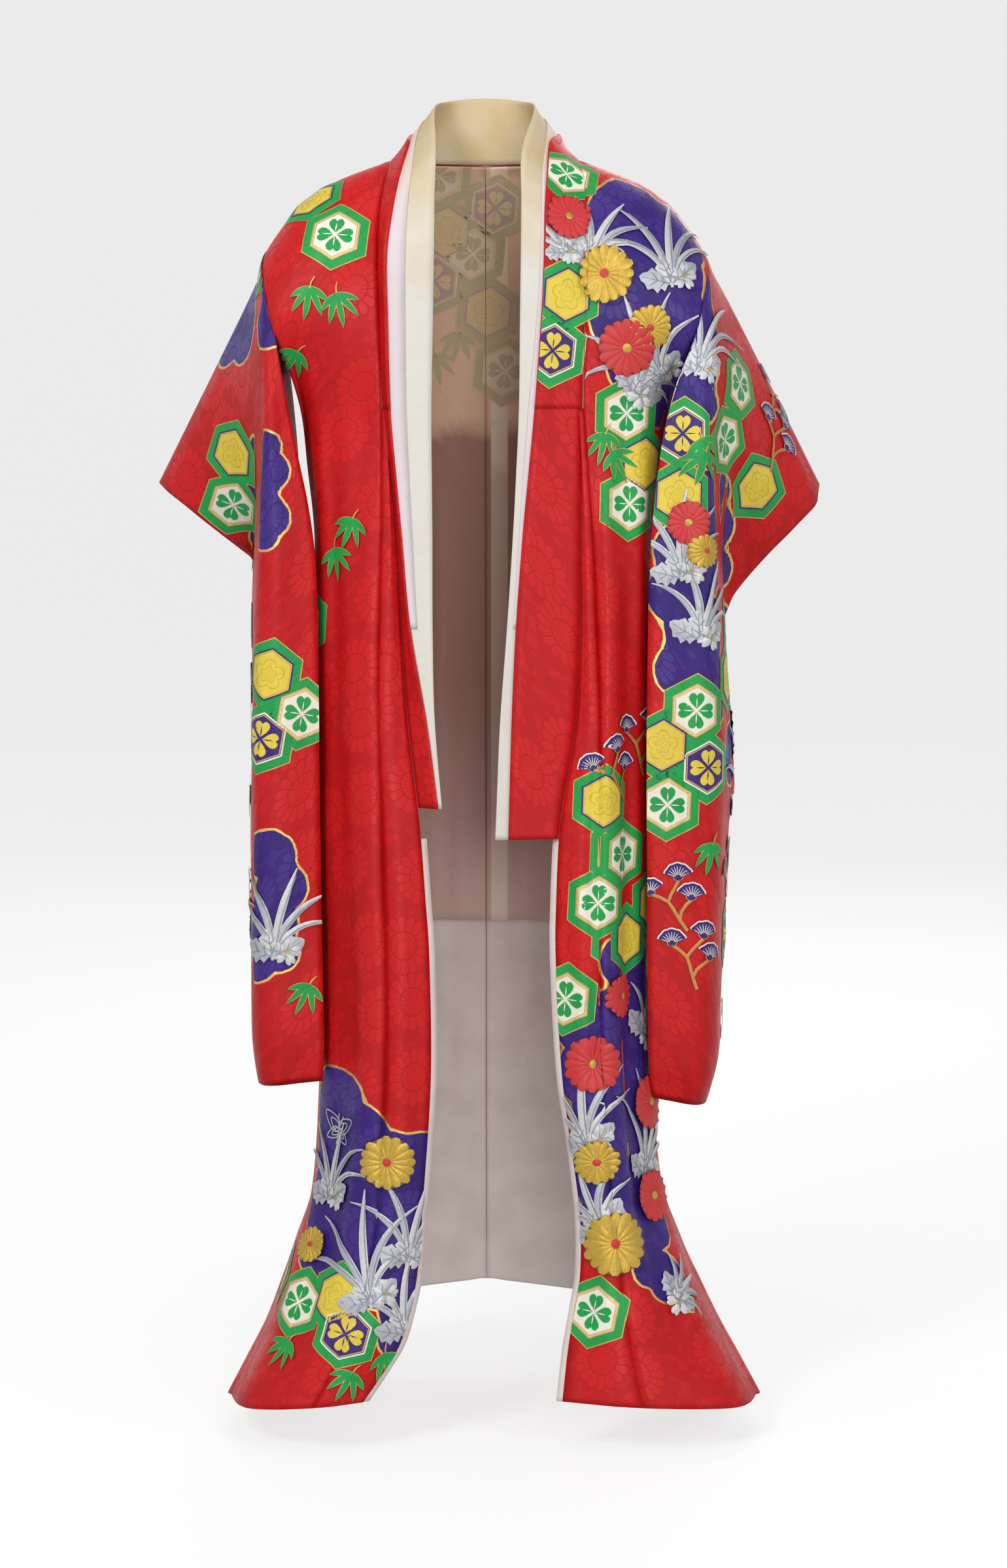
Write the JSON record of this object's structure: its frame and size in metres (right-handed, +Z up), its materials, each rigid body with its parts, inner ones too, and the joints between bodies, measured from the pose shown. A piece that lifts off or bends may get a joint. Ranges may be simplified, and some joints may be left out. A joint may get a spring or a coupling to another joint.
{
  "type": "long-sleeved formal kimono",
  "caption": "Open-fronted formal kimono in its worn form: hollow body, deep hanging sleeves, padded hem that trails out, and layered collars that stand at the neck.",
  "frame": {"origin": "between the wearer's shoulders at the base of the neck, where the garment is held", "axes": "+Z up, -Y towards the garment's open front, +X towards the wearer's left"},
  "size_m": [0.8227, 0.4359, 1.5817],
  "materials": {
    "silk_red": "glossy red damask silk with dyed, painted and couched patterns",
    "lining_rose": "thin rose silk lining, the outer colours faint through it",
    "lining_pale": "pale grey silk lining",
    "collar_cream": "cream silk crepe, tanned at the neck",
    "collar_pink": "pale pink silk crepe"
  },
  "bodies": {
    "root": {"body_right": "silk_red", "body_left": "silk_red", "overlap_right": "silk_red", "overlap_left": "silk_red", "sleeve_right": "silk_red", "sleeve_left": "silk_red", "collar": "silk_red", "over_collar": "silk_red", "accent_collar": "collar_pink", "inner_collar": "collar_cream", "lining_upper_right": "lining_rose", "lining_upper_left": "lining_rose", "lining_lower_right": "lining_pale", "lining_lower_left": "lining_pale", "sleeve_lining_right": "lining_pale", "sleeve_lining_left": "lining_pale"}
  },
  "joints": []
}
